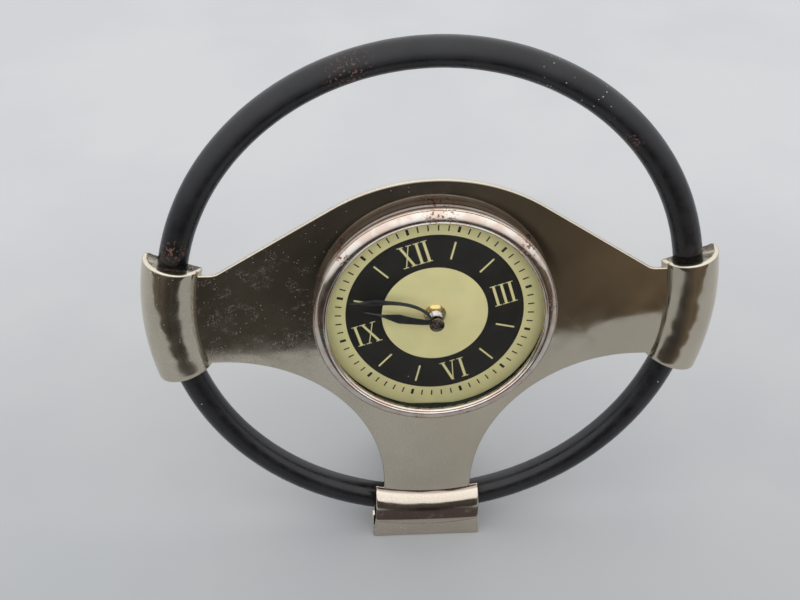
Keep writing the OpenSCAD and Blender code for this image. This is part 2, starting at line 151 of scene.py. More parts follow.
class Shell:
    """Collects closed surfaces into one mesh."""

    def __init__(self):
        self.points = []
        self.faces = []

    def rings(self, rings, closed=False):
        """Skin over rings of equally many points, closed on itself or capped at both ends."""
        start = len(self.points)
        n = len(rings[0])
        for ring in rings:
            self.points += [tuple(p) for p in ring]
        for i in range(len(rings) if closed else len(rings) - 1):
            low = start + i * n
            high = start + (i + 1) % len(rings) * n
            for k in range(n):
                k2 = (k + 1) % n
                self.faces.append((low + k, low + k2, high + k2, high + k))
        if not closed:
            self.faces.append(tuple(range(start, start + n)))
            self.faces.append(tuple(range(start + (len(rings) - 1) * n, start + len(rings) * n)))

    def lathe(self, profile, steps=192):
        """Turns a closed profile of (radius, height) round the dial's axis."""
        ring = [[polar(r, 360 * i / steps, z) for r, z in profile] for i in range(steps)]
        self.rings(ring, closed=True)

    def plate(self, outline, back, front, round_front, round_back, steps=5):
        """An anticlockwise outline given thickness, with rounded edges and a flat margin round each face."""
        rings = []
        for radius, z, direction in ((round_back, back, 1), (round_front, front, -1)):
            levels = [(radius + PLATE_MARGIN, z)]
            levels += [(distance, z + direction * depth) for distance, depth in quarter(radius, steps)]
            if direction < 0:
                levels.reverse()
            for distance, height in levels:
                rings.append([(p[0], p[1], height) for p in inset(outline, distance)])
        self.rings(rings)

    def sweep(self, section, middle, half, edge, steps=28, straight=False):
        """Sweeps an anticlockwise (radius, height) section round the wheel, with softened ends.

        The ends are radial, or parallel to the wheel's radius at the middle if straight.
        """
        levels = [(edge + SWEEP_MARGIN, 0.0)] + quarter(edge, 4)
        stations = [(distance, -half + math.degrees(along / RING_R)) for distance, along in levels]
        end = stations[-1][1]
        inner = [(0.0, end * (1 - 2 * i / steps)) for i in range(1, steps)]
        stations += inner + [(distance, -angle) for distance, angle in reversed(stations)]
        rings = []
        for distance, angle in stations:
            moved = inset(section, distance)
            aside = RING_R * math.sin(math.radians(angle))
            turns = [math.degrees(math.asin(aside / p[0])) if straight else angle for p in moved]
            rings.append([polar(p[0], middle + turn, p[1]) for p, turn in zip(moved, turns)])
        self.rings(rings)

    def block(self, low, high, bevel):
        """A block between two four-cornered faces, with softened edges."""
        bm = bmesh.new()
        vertices = [bm.verts.new(p) for p in list(low) + list(high)]
        for face in BLOCK_FACES:
            bm.faces.new([vertices[i] for i in face])
        bmesh.ops.bevel(bm, geom=list(bm.edges), offset=bevel, segments=3, profile=0.5, affect="EDGES")
        start = len(self.points)
        bm.verts.index_update()
        self.points += [tuple(v.co) for v in bm.verts]
        self.faces += [tuple(start + v.index for v in f.verts) for f in bm.faces]
        bm.free()

    def prism(self, outline, back, front):
        """An outline given thickness, with sharp edges."""
        self.rings([[(p[0], p[1], z) for p in outline] for z in (back, front)])

    def piece(self, name, paint, nodes, body="frame", sharp=32):
        """Makes the object, puts it on its body and lets it stand for its CAD nodes."""
        mesh = bpy.data.meshes.new(name)
        mesh.from_pydata([FACE @ Vector(p) for p in self.points], [], self.faces)
        bm = bmesh.new()
        bm.from_mesh(mesh)
        bmesh.ops.remove_doubles(bm, verts=bm.verts, dist=WELD)
        bmesh.ops.recalc_face_normals(bm, faces=bm.faces)
        bm.to_mesh(mesh)
        bm.free()
        mesh.shade_smooth()
        mesh.set_sharp_from_angle(angle=math.radians(sharp))
        mesh.materials.append(paint)
        thing = bpy.data.objects.new(name, mesh)
        bpy.context.scene.collection.objects.link(thing)
        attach(thing, body)
        if nodes:
            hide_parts(*nodes)


# ---- Materials ----


class Paint:
    """A material whose patterns are laid out in the face-up frame's millimetres."""

    def __init__(self, name, metallic=0.0, **fixed):
        self.material = bpy.data.materials.new(name)
        self.material.use_nodes = True
        self.tree = self.material.node_tree
        self.tree.nodes.clear()
        self.shader = self.add("ShaderNodeBsdfPrincipled")
        self.output = self.add("ShaderNodeOutputMaterial")
        self.tree.links.new(self.shader.outputs[0], self.output.inputs["Surface"])
        self.shader.inputs["Metallic"].default_value = metallic
        for socket, value in fixed.items():
            self.shader.inputs[socket.replace("_", " ")].default_value = value
        coordinates = self.add("ShaderNodeTexCoord")
        place = self.add("ShaderNodeMapping")
        place.inputs["Scale"].default_value = (1000, 1000, 1000)
        place.inputs["Rotation"].default_value = TO_FACE.to_euler()
        place.inputs["Location"].default_value = TO_FACE.translation
        self.tree.links.new(coordinates.outputs["Object"], place.inputs["Vector"])
        self.here = place.outputs[0]

    def add(self, kind):
        return self.tree.nodes.new(kind)

    def put(self, socket, value):
        """Links the socket to another node's output, or gives it a fixed value."""
        if isinstance(value, bpy.types.NodeSocket):
            self.tree.links.new(value, socket)
        else:
            socket.default_value = value

    def set(self, socket, value):
        self.put(self.shader.inputs[socket], value)

    def math(self, operation, *values):
        node = self.add("ShaderNodeMath")
        node.operation = operation
        for socket, value in zip(node.inputs, values):
            self.put(socket, value)
        return node.outputs[0]

    def step(self, value, low, high, out_low=0.0, out_high=1.0):
        """Rises smoothly from out_low to out_high as value goes from low to high."""
        node = self.add("ShaderNodeMapRange")
        node.interpolation_type = "SMOOTHSTEP"
        for socket, number in zip(node.inputs, (value, low, high, out_low, out_high)):
            self.put(socket, number)
        return node.outputs[0]

    def mix(self, share, a, b):
        """The colour a, going over to b as share goes from 0 to 1."""
        node = self.add("ShaderNodeMix")
        node.data_type = "RGBA"
        self.put(node.inputs[0], share)
        for socket, value in ((node.inputs[6], a), (node.inputs[7], b)):
            self.put(socket, (*value, 1) if isinstance(value, tuple) else value)
        return node.outputs[2]

    def placed(self, size, stretch=(1, 1, 1), turn=0.0):
        """The position in units of size millimetres, turned about the dial's axis and stretched."""
        node = self.add("ShaderNodeMapping")
        node.vector_type = "TEXTURE"
        node.inputs["Rotation"].default_value = (0, 0, math.radians(turn))
        node.inputs["Scale"].default_value = [size * s for s in stretch]
        self.tree.links.new(self.here, node.inputs["Vector"])
        return node.outputs[0]

    def noise(self, size, detail, stretch=(1, 1, 1), turn=0.0):
        """Cloudy values round 0.5, with features about size millimetres across."""
        node = self.add("ShaderNodeTexNoise")
        node.inputs["Scale"].default_value = 1
        node.inputs["Detail"].default_value = detail
        self.tree.links.new(self.placed(size, stretch, turn), node.inputs["Vector"])
        return node.outputs[0]

    def dots(self, size, radius, share):
        """Small specks, in the given share of the cells of size millimetres."""
        node = self.add("ShaderNodeTexVoronoi")
        node.inputs["Scale"].default_value = 1
        self.tree.links.new(self.placed(size), node.inputs["Vector"])
        near = self.step(node.outputs["Distance"], radius / size, 0.6 * radius / size)
        split = self.add("ShaderNodeSeparateColor")
        self.tree.links.new(node.outputs["Color"], split.inputs[0])
        return self.times(near, self.math("LESS_THAN", split.outputs[0], share))

    def scratches(self, length, spacing, width, turn):
        """Thin lines along the direction turn."""
        value = self.noise(spacing, 2.0, (length / spacing, 1, 1), turn)
        away = self.math("ABSOLUTE", self.math("SUBTRACT", value, 0.5))
        return self.step(away, width, 0.3 * width)

    def axis(self, i):
        """X, Y or Z in the face-up frame."""
        split = self.add("ShaderNodeSeparateXYZ")
        self.tree.links.new(self.here, split.inputs[0])
        return split.outputs[i]

    def away(self, x, y):
        """Distance from the place (x, y) of the wheel."""
        dx = self.math("SUBTRACT", self.axis(0), x)
        dy = self.math("SUBTRACT", self.axis(1), y)
        return self.math("SQRT", self.plus(self.times(dx, dx), self.times(dy, dy)))

    def spot(self, x, y, radius, soft, ragged=0.0):
        """One within soft times the radius of the place (x, y) of the wheel, and nothing past the radius."""
        away = self.away(x, y)
        if ragged:
            away = self.plus(away, self.times(self.noise(radius / 2, 4.0), ragged * radius))
        return self.step(away, radius, radius * soft)

    def band(self, value, start, full, fading, end):
        """One from full to fading, falling to nothing at start and at end."""
        return self.times(self.step(value, start, full), self.step(value, end, fading))

    def either(self, *masks):
        total = masks[0]
        for mask in masks[1:]:
            total = self.math("MAXIMUM", total, mask)
        return total

    def times(self, *values):
        product = values[0]
        for value in values[1:]:
            product = self.math("MULTIPLY", product, value)
        return product

    def plus(self, *values):
        total = values[0]
        for value in values[1:]:
            total = self.math("ADD", total, value)
        return total

    def coats(self, colour, *coats):
        """The colour under coats of (mask, strength, tint), each over the last."""
        for mask, strength, tint in coats:
            colour = self.mix(self.times(mask, strength), colour, tint)
        return colour

    def bump(self, height, depth):
        """Raises the surface by depth millimetres where height is one."""
        node = self.add("ShaderNodeBump")
        node.inputs["Strength"].default_value = 1
        node.inputs["Distance"].default_value = depth / 1000
        self.tree.links.new(height, node.inputs["Height"])
        self.tree.links.new(node.outputs[0], self.shader.inputs["Normal"])


def common(slot, dark, light, metallic, rough, grain, depth):
    """A surface mottled between two colours, with grain millimetres of texture depth millimetres deep."""
    p = Paint(slot, metallic=metallic)
    wear = p.step(p.noise(8 * grain, 4.0), 0.35, 0.65)
    speck = p.dots(5 * grain, 0.5 * grain, 0.3)
    colour = p.mix(wear, dark, light)
    p.set("Base Color", p.mix(p.times(speck, 0.25), colour, tuple(0.5 * c for c in dark)))
    p.set("Roughness", p.step(p.noise(3 * grain, 4.0), 0.3, 0.7, rough - 0.07, rough + 0.08))
    p.bump(p.noise(grain, 3.0), depth)
    return p.material


# Finishes for common(): dark, light, metallic, rough, grain and depth
FINISHES = {
    "dark_ring": ((0.035, 0.045, 0.037), (0.055, 0.065, 0.055), 0.0, 0.55, 0.6, 0.01),
    "fibre_board": ((0.030, 0.036, 0.030), (0.048, 0.052, 0.042), 0.0, 0.8, 0.8, 0.03),
    "leg_steel": ((0.016, 0.016, 0.017), (0.028, 0.028, 0.029), 0.0, 0.45, 0.9, 0.02),
    "screw_steel": ((0.50, 0.49, 0.46), (0.64, 0.63, 0.60), 1.0, 0.28, 0.4, 0.006),
    "rubber_black": ((0.018, 0.018, 0.018), (0.032, 0.032, 0.032), 0.0, 0.8, 0.5, 0.02),
    "brass_nut": ((0.82, 0.66, 0.36), (0.92, 0.80, 0.52), 1.0, 0.24, 0.4, 0.006),
    "post_nickel": ((0.42, 0.37, 0.34), (0.62, 0.58, 0.54), 1.0, 0.22, 0.4, 0.008),
    "hand_black": ((0.010, 0.010, 0.010), (0.018, 0.018, 0.017), 0.0, 0.35, 0.4, 0.004),
    "cap_nut": ((0.10, 0.075, 0.06), (0.20, 0.16, 0.13), 1.0, 0.26, 0.4, 0.01),
    "wheel_plastic": ((0.70, 0.67, 0.56), (0.78, 0.75, 0.65), 0.0, 0.45, 0.4, 0.005),
    "arbor_steel": ((0.52, 0.51, 0.49), (0.68, 0.67, 0.65), 1.0, 0.22, 0.3, 0.004),
    "knob_plastic": ((0.38, 0.03, 0.02), (0.48, 0.05, 0.035), 0.0, 0.4, 0.4, 0.008),
    "magnet": ((0.035, 0.035, 0.037), (0.06, 0.06, 0.062), 0.2, 0.6, 0.3, 0.01),
    "stator_steel": ((0.38, 0.37, 0.35), (0.52, 0.51, 0.49), 1.0, 0.35, 0.4, 0.006),
    "bobbin_plastic": ((0.70, 0.70, 0.67), (0.80, 0.80, 0.77), 0.0, 0.5, 0.4, 0.006),
    "copper_winding": ((0.50, 0.18, 0.07), (0.68, 0.29, 0.12), 1.0, 0.32, 0.25, 0.03),
    "board_green": ((0.012, 0.10, 0.035), (0.02, 0.16, 0.055), 0.0, 0.35, 0.5, 0.01),
    "crystal_can": ((0.60, 0.60, 0.60), (0.72, 0.72, 0.72), 1.0, 0.2, 0.3, 0.004),
    "case_plastic": ((0.014, 0.014, 0.016), (0.024, 0.024, 0.027), 0.0, 0.5, 0.45, 0.03),
    "contact_metal": ((0.60, 0.57, 0.51), (0.74, 0.71, 0.65), 1.0, 0.24, 0.4, 0.004),
    "battery_sleeve": ((0.03, 0.06, 0.20), (0.045, 0.085, 0.26), 0.0, 0.3, 0.7, 0.006),
}
PAINTS = {slot: common(slot, *finish) for slot, finish in FINISHES.items()}

for part in frame["record"]["subparts"]:
    if part["material_slot"] in PAINTS:
        for slot in frame["nodes"][part["node"]].material_slots:
            slot.material = PAINTS[part["material_slot"]]

# ---- Rim ----

TUBE_SIDES = 48
RIM_CHIPS = ((55, 131, 12), (78, 118, 14))   # flecked stretches: x, y and radius
RIM_RUST = ((-137, 38, 9), (-45, 133, 16), (97, 96, 8))


def enamel():
    p = Paint("black_enamel", Specular_IOR_Level=0.4)
    chipped = p.either(*[p.spot(*place, 0.3) for place in RIM_CHIPS])
    fleck = p.either(p.times(chipped, p.dots(2.2, 0.45, 0.5)), p.dots(11, 0.5, 0.16))
    rusty = p.either(*[p.spot(*place, 0.2) for place in RIM_RUST])
    rust = p.times(rusty, p.step(p.noise(1.4, 5.0), 0.56, 0.62))
    cloud = p.step(p.noise(24, 4.0), 0.4, 0.65)
    colour = p.mix(cloud, (0.0062, 0.0062, 0.0074), (0.012, 0.012, 0.0135))
    colour = p.coats(colour, (rust, 0.9, (0.16, 0.07, 0.045)), (fleck, 0.85, (0.50, 0.45, 0.36)))
    p.set("Base Color", colour)
    p.set("Roughness", p.plus(p.step(p.noise(6, 5.0), 0.3, 0.7, 0.22, 0.34), p.times(rust, 0.3)))
    p.bump(p.plus(p.times(p.noise(2.2, 3.0), 0.6), p.either(fleck, rust)), 0.02)
    return p.material


def rim():
    shell = Shell()
    shell.lathe(arc(RING_R, 0, TUBE_R, 0, 360 * (1 - 1 / TUBE_SIDES), TUBE_SIDES - 1), FINE_STEPS)
    shell.piece("wheel_rim", enamel(), ["rim"])


# ---- Hub casting ----

HUB_TOP = extent("hub_casting")[1].y
SPOKE_W = 52.0
ARM_END = 129.0
ARM_TOP = 24.5
ARM_BOTTOM = -31.0
CROWN_R = 105.0
CROWN_ANGLE = 31.8
NOTCH_R = 9.0
BAY_R = 90.0
PLATE_EDGES = (0.8, 1.7)   # rounding of the plate's front and back edges

SADDLE_R = 16.0        # outer radius of a saddle's section
SADDLE_Z = 2.0         # depth of the section's centre
SADDLE_WALL = 3.5
SADDLE_EDGE = 0.9
SADDLE_ROUND = 1.1     # rounding of the section's corners
OUTER_BACK = -2.0      # the saddles' outer walls reach back to here
SIDE_BACK = 4.0        # the side saddles' inner walls reach back to here
FOOT_INNER_BACK = 9.0  # the bottom saddle's inner wall stops on the plate
SADDLES = ((-1.5, 13.7), (181.5, 13.7))   # middle and half angle of the side saddles
FOOT_SADDLE_W = 62.0   # the bottom saddle is cut straight at this width
FOOT_SADDLE_EDGE = 1.3
SEAT_HALF = 3.0        # half angle of the seat that fills a saddle down to the rim
SEAT_EDGE = 0.3
SEAM_R = RING_R - math.sqrt(SADDLE_R ** 2 - (PLATE_FRONT - SADDLE_Z) ** 2)   # where saddles leave the plate

FOOT_LOW = -156.8      # underside of the foot at the depth of the saddle's centre
FOOT_FRONT = 16.0
FOOT_BACK = -1.5
FOOT_WALL = 4.0
FOOT_TOP_W = 61.0
FOOT_W = 65.0
SOLE_T = 3.3
SOLE_LAP = 2.0         # the sole reaches this far into the apron
APRON_EDGE = 0.9
SOLE_EDGE = 0.6


def plate_outline():
    """Anticlockwise outline of the three-armed plate, from the middle of its top."""
    slope = math.radians(CROWN_ANGLE)
    shoulder_x = CROWN_R * math.sin(slope)
    shoulder_y = HUB_TOP - CROWN_R * (1 - math.cos(slope))
    notch_x = shoulder_x + (shoulder_y - ARM_TOP) / math.tan(slope)
    notch_x += NOTCH_R * math.tan(slope / 2)
    line = arc(0, HUB_TOP - CROWN_R, CROWN_R, 90, 90 - CROWN_ANGLE, 18)
    line += arc(notch_x, ARM_TOP + NOTCH_R, NOTCH_R, 270 - CROWN_ANGLE, 270, 6)
    line += [(ARM_END, ARM_TOP), (ARM_END, ARM_BOTTOM)]
    line += arc(SPOKE_W / 2 + BAY_R, ARM_BOTTOM - BAY_R, BAY_R, 90, 180, 30)
    line += [(SPOKE_W / 2, -ARM_END)]
    left = [(-x, y) for x, y in line[1:]]
    return left + line[::-1]


def saddle_section(inner_back):
    """U-shaped section, anticlockwise, whose wall beside the hub plate reaches back to inner_back."""
    inner_r = SADDLE_R - SADDLE_WALL
    ends = []
    for r in (SADDLE_R, inner_r):
        far, near = [math.degrees(math.asin((z - SADDLE_Z) / r)) for z in (OUTER_BACK, inner_back)]
        ends.append((far, 180 - near))
    outer = arc(RING_R, SADDLE_Z, SADDLE_R, ends[0][0], ends[0][1], 40)
    inside = arc(RING_R, SADDLE_Z, inner_r, ends[1][1], ends[1][0], 32)
    return rounded(outer + inside, SADDLE_ROUND)


def seat_section():
    """Anticlockwise section of the seat, from within the saddle down to the rim."""
    outer = arc(RING_R, SADDLE_Z, SADDLE_R - SADDLE_WALL / 2, 2, 178, 20)
    inside = arc(RING_R, 0, TUBE_R, 162, 18, 20)
    return outer + inside


def ground(z):
    """Height of the table in the face-up frame, at the depth z."""
    return FOOT_LOW - (z - SADDLE_Z) * math.tan(LEAN)


def footprint(back, front):
    """Corners on the table of the foot's outline between two depths."""
    half = FOOT_W / 2
    return [(x, ground(z), z) for x, z in ((-half, back), (half, back), (half, front), (-half, front))]


def foot(shell):
    """The apron in front of the bottom saddle, and the sole under it."""
    back = FOOT_FRONT - FOOT_WALL
    low = footprint(back, FOOT_FRONT)
    high = [(x * FOOT_TOP_W / FOOT_W, -RING_R, z) for x, y, z in low]
    shell.block(low, high, APRON_EDGE)
    low = footprint(FOOT_BACK, back + SOLE_LAP)
    high = [(x, y + SOLE_T, z) for x, y, z in low]
    shell.block(low, high, SOLE_EDGE)


WORN_AT = (-95, 0, 62)   # the rubbed patch on the left arm: x, y and radius
PLATE_RUST = ((-93, 3, 2.2), (-99, -3, 1.6))
DENT_AT = (112, -2, 30)
STREAKS = ((26, 1.3, 0.005, 24), (18, 1.0, 0.004, -38), (22, 1.5, 0.004, 82))   # length, spacing, width, turn


def painted_plate_shade(p, ring):
    """Painted shade on the plate's front: a dark line in the groove along the saddles, and a darkened patch above
    the bezel that dims the bezel's reflection in the plate.
    """
    seam = p.band(ring, SEAM_R - 0.4, SEAM_R + 0.1, SEAM_R + 0.8, SEAM_R + 1.6)
    shade = p.times(p.step(ring, BASE_R + 8, BASE_R + 3), p.step(p.axis(1), 10, 45))
    return p.times(p.either(seam, shade), p.step(p.axis(2), PLATE_FRONT - 0.8, PLATE_FRONT - 0.2))


def foot_tarnish(p):
    """A dark band across the front of the bottom saddle."""
    height = p.band(p.axis(1), -2.6 - RING_R, -1.9 - RING_R, 5.0 - RING_R, 7.5 - RING_R)
    front = p.step(p.axis(2), FOOT_FRONT + 0.1, FOOT_FRONT + 0.4)
    return p.times(height, front, p.step(p.noise(4, 4.0), 0.1, 0.5, 0.7, 1.0))


def nickel():
    p = Paint("nickel_plate", metallic=1.0)
    ring = p.away(0, 0)
    worn = p.spot(*WORN_AT, 0.3)
    mostly_worn = p.step(worn, 0.0, 1.0, 0.15, 1.0)
    left = p.step(p.axis(0), 60, -40)
    streaks = p.either(*[p.scratches(*streak) for streak in STREAKS])
    lines = p.times(streaks, p.step(p.noise(7, 2.0), 0.5, 0.62), mostly_worn)
    pits = p.times(p.dots(3.2, 0.28, 0.5), mostly_worn)
    haze = p.times(worn, p.step(p.noise(1.6, 6.0), 0.52, 0.72))
    specks = p.times(p.dots(2.3, 0.34, 0.4), p.step(left, 0.0, 1.0, 0.1, 1.0))
    grain = p.times(p.step(p.noise(1.1, 2.0), 0.5, 0.7), p.step(left, 0.0, 1.0, 0.06, 0.22))
    rust = p.either(*[p.spot(*place, 0.3, 0.9) for place in PLATE_RUST])
    tarnish = foot_tarnish(p)
    cloud = p.step(p.noise(38, 4.0), 0.35, 0.65)
    colour = p.mix(cloud, (0.60, 0.545, 0.445), (0.55, 0.495, 0.395))
    p.set("Base Color", p.coats(
        colour,
        (lines, 0.5, (0.85, 0.82, 0.78)),
        (haze, 0.3, (0.35, 0.30, 0.25)),
        (specks, 0.4, (0.80, 0.78, 0.74)),
        (grain, 1.0, (0.90, 0.88, 0.86)),
        (pits, 1.0, (0.16, 0.12, 0.09)),
        (rust, 1.0, (0.36, 0.12, 0.07)),
        # painted shade: dark groove line along the saddles and darkened reflection above the bezel
        (painted_plate_shade(p, ring), 0.75, (0.12, 0.09, 0.07)),
        (p.step(p.axis(1), -122, -126), 0.2, (0.66, 0.55, 0.52)),
        (tarnish, 1.0, (0.13, 0.09, 0.078)),
    ))
    p.set("Roughness", p.plus(
        p.step(p.noise(11, 5.0), 0.3, 0.75, 0.06, 0.12),
        p.times(haze, 0.05),
        p.times(p.either(lines, pits, specks, rust), 0.35),
        p.step(ring, SEAM_R, SEAM_R + 3, 0.0, 0.05),
        p.times(tarnish, 0.12),
    ))
    dent = p.times(p.spot(*DENT_AT, 0.0), 12.0)
    ripple = p.times(p.noise(19, 1.2), p.step(ring, SEAM_R - 1, SEAM_R + 3, 0.0, 9.0))
    p.bump(p.plus(p.noise(24, 1.0), dent, ripple, p.times(p.either(pits, rust), -0.25)), 0.08)
    return p.material


def hub():
    shell = Shell()
    shell.plate(plate_outline(), PLATE_BACK, PLATE_FRONT, *PLATE_EDGES)
    for middle, half in SADDLES:
        shell.sweep(saddle_section(SIDE_BACK), middle, half, SADDLE_EDGE)
        shell.sweep(seat_section(), middle, SEAT_HALF, SEAT_EDGE, steps=4)
    foot_half = math.degrees(math.asin(FOOT_SADDLE_W / 2 / RING_R))
    shell.sweep(saddle_section(FOOT_INNER_BACK), 270, foot_half, FOOT_SADDLE_EDGE, straight=True)
    shell.sweep(seat_section(), 270, SEAT_HALF, SEAT_EDGE, steps=4)
    foot(shell)
    shell.points = [(x, max(y, ground(z)), z) for x, y, z in shell.points]
    shell.piece("hub", nickel(), ["hub_casting"])


# ---- Bezel ----

BEAD_R = 0.9
NECK_R = 64.4
NECK_BACK = PLATE_FRONT + 2 * BEAD_R + 0.1
NECK_FRONT = NECK_BACK + 0.8
ROLL_R = 4.6         # radius of the rolled front edge
ROLL_Z = bezel_high.z - ROLL_R
LIP_R = 58.6
LIP_Z = 19.4
# The lip's creased front and inner edge, as steps out from LIP_R and up from LIP_Z
LIP = ((1.95, 2.2), (1.65, 1.95), (1.3, 2.0), (0.9, 2.15), (0.4, 1.9),
       (0.1, 1.45), (0, 0.9), (0, 0.2), (0.2, 0))
# Rusty places: x, y and radius
BEZEL_RUST = ((0, 62, 12), (47, 44, 8), (62, 10, 5), (56, -38, 9), (-8, -66, 7), (20, -62, 5), (-50, 40, 5))


def bezel_steel():
    p = Paint("bezel_steel", metallic=1.0)
    # painted shade: the bezel turns dark brown below its rolled front edge, where shade falls
    under = p.step(p.axis(2), ROLL_Z + 1.2, ROLL_Z - 0.6)
    rusty = p.either(*[p.spot(*place, 0.3) for place in BEZEL_RUST])
    rust = p.times(rusty, p.step(p.noise(1.7, 5.0), 0.53, 0.6))
    specks = p.times(p.dots(2.1, 0.25, 0.35), p.step(p.noise(12, 2.0), 0.48, 0.6))
    stain = p.either(rust, specks)
    warm = p.step(p.noise(9, 3.0), 0.4, 0.62)
    colour = p.mix(warm, (0.68, 0.625, 0.565), (0.61, 0.485, 0.415))
    # the first coat is the painted shade under the roll; the second is real rust and specks
    colour = p.coats(colour, (under, 0.75, (0.11, 0.09, 0.08)), (stain, 0.85, (0.22, 0.10, 0.055)))
    p.set("Base Color", colour)
    rough = p.step(p.noise(4, 4.0), 0.3, 0.7, 0.1, 0.2)
    p.set("Roughness", p.plus(rough, p.times(stain, 0.45), p.times(under, 0.2)))
    p.bump(p.times(stain, -1.0), 0.03)
    return p.material


def bezel():
    line = [(WALL_R, PLATE_FRONT)]
    line += arc(BASE_R - BEAD_R, PLATE_FRONT + BEAD_R, BEAD_R, -90, 75, 9)
    line += [(NECK_R, NECK_BACK), (NECK_R, NECK_FRONT)]
    line += arc(BEZEL_R - ROLL_R, ROLL_Z, ROLL_R, -42, 101, 22)
    line += [(LIP_R + out, LIP_Z + up) for out, up in LIP]
    line += [(WALL_R, LIP_Z)]
    shell = Shell()
    shell.lathe(line, FINE_STEPS)
    shell.piece("bezel_ring", bezel_steel(), ["bezel"], sharp=40)


# ---- Lens ----

LENS_Z = 18.3        # back of the lens's rim
LENS_R = WALL_R - 0.4
LENS_RIM_T = 1.0
LENS_T = 1.2
DOME_R = 57.6
LENS_SAG = 8.5
LENS_SPHERE = (DOME_R ** 2 + LENS_SAG ** 2) / (2 * LENS_SAG)
DOME_STEPS = 20


def glass():
    p = Paint("clear_glass", Transmission_Weight=1.0, IOR=1.1)
    p.set("Base Color", p.mix(p.step(p.noise(20, 2.0), 0.3, 0.7), (1, 1, 1), (0.98, 1, 0.99)))
    p.set("Roughness", p.step(p.noise(9, 4.0), 0.55, 0.8, 0.0, 0.03))
    return p.material


def lens():
    middle = LENS_Z + LENS_RIM_T + LENS_SAG - LENS_SPHERE
    under = LENS_SPHERE - LENS_T
    inner_r = math.sqrt(under ** 2 - (LENS_Z - middle) ** 2)
    line = []
    for i in range(DOME_STEPS + 1):
        r = DOME_R * i / DOME_STEPS
        line.append((r, middle + math.sqrt(LENS_SPHERE ** 2 - r * r)))
    line += [(LENS_R, LENS_Z + LENS_RIM_T), (LENS_R, LENS_Z)]
    for i in range(DOME_STEPS + 1):
        r = inner_r * (1 - i / DOME_STEPS)
        line.append((r, middle + math.sqrt(under ** 2 - r * r)))
    shell = Shell()
    shell.lathe(line)
    shell.piece("domed_lens", glass(), ["lens"], sharp=50)


# ---- Dial ----

DIAL_R = dial_high.x
DIAL_FLAT = -dial_low.y   # the dial is cut straight this far below its middle
DIAL_T = 0.8
DIAL_EDGE = 0.12
DIAL_TURN = 18.0     # the dial is turned this many degrees anticlockwise in its bezel
INK_T = 0.03
INK_FRONT = DIAL_FRONT + INK_T
MARK_FRONT = INK_FRONT + INK_T
BLACK_RING = (28.9, 48.5)   # inner and outer radius, as for the marks below
TICKS = (50.8, 54.2)
TICK_W = 0.75
HOUR_TICK_W = 1.5
HOUR_MARKS = (34.5, 45.0)
HOUR_MARK_W = 1.0
NUMERAL_R = 38.7
NUMERAL_H = 13.0
THICK = 1.5
THIN = 0.6
SERIF_H = 0.5
SERIF_W = 3.5
SERIF_THIN_W = 3.0   # serifs of the thin strokes
LETTER_GAP = 0.6
NUMERALS = {0: (("X", 8.2), ("I", 3.5), ("I", 3.5)), 3: (("I", 3.8), ("I", 3.8), ("I", 3.8)),
            6: (("V", 9.2), ("I", 3.8)), 9: (("I", 3.8), ("X", 9.4))}   # each letter with its width


def dial_cream():
    p = Paint("dial_cream", Specular_IOR_Level=0.35)
    cloud = p.step(p.noise(13, 3.0), 0.3, 0.7)
    colour = p.mix(cloud, (0.79, 0.715, 0.36), (0.74, 0.67, 0.335))
    dust = p.dots(6, 0.16, 0.4)
    p.set("Base Color", p.mix(p.times(dust, 0.7), colour, (0.8, 0.8, 0.76)))
    p.set("Roughness", p.step(p.noise(1.2, 2.0), 0.3, 0.7, 0.42, 0.55))
    p.bump(p.noise(0.35, 2.0), 0.01)
    return p.material


def dial_ink():
    p = Paint("dial_ink", Specular_IOR_Level=0.35)
    dust = p.either(p.dots(5, 0.14, 0.35), p.spot(-13.5, -41, 1.0, 0.4, 0.8))
    colour = p.mix(p.step(p.noise(8, 3.0), 0.3, 0.7), (0.010, 0.009, 0.007), (0.014, 0.012, 0.009))
    p.set("Base Color", p.mix(p.times(dust, 0.6), colour, (0.55, 0.55, 0.52)))
    p.set("Roughness", p.step(p.noise(1.2, 2.0), 0.3, 0.7, 0.4, 0.55))
    p.bump(p.noise(0.35, 2.0), 0.008)
    return p.material


def bar(shell, angle, reach, width, back, front):
    """A straight mark along the direction angle, between the two radii of reach."""
    near, far = reach
    corners = [(near, -width / 2), (far, -width / 2), (far, width / 2), (near, width / 2)]
    shell.prism(turned_by(angle, corners), back, front)


def stroke(low, high, width):
    """A stroke from the place low at the foot of a letter to the place high at its head."""
    side = width / 2
    end = NUMERAL_H / 2
    return [(low - side, -end), (low + side, -end), (high + side, end), (high - side, end)]


def serif(x, side, width=SERIF_W):
    """A serif across the foot (side -1) or the head (side 1) of a letter."""
    y = side * (NUMERAL_H / 2 - SERIF_H / 2)
    left, right = x - width / 2, x + width / 2
    low, high = y - SERIF_H / 2, y + SERIF_H / 2
    return [(left, low), (right, low), (right, high), (left, high)]


def letter(kind, x, width):
    """The strokes of one letter whose left side is at x."""
    left, middle, right = x + SERIF_W / 2, x + width / 2, x + width - SERIF_W / 2
    if kind == "I":
        return [stroke(middle, middle, THICK), serif(middle, -1, width), serif(middle, 1, width)]
    if kind == "V":
        return [stroke(middle, left, THICK), stroke(middle, right, THIN),
                serif(left, 1), serif(right, 1, SERIF_THIN_W)]
    return [stroke(right, left, THICK), stroke(left, right, THIN),
            serif(left, 1), serif(right, 1, SERIF_THIN_W), serif(left, -1, SERIF_THIN_W), serif(right, -1)]


def numeral(shell, hour, back, front):
    word = NUMERALS[hour]
    x = -(sum(width for _, width in word) + LETTER_GAP * (len(word) - 1)) / 2
    mx, my, _ = polar(NUMERAL_R, 90 - 30 * hour)
    for kind, width in word:
        for corners in letter(kind, x, width):
            shell.prism(turned_by(DIAL_TURN, [(mx + px, my + py) for px, py in corners]), back, front)
        x += width + LETTER_GAP


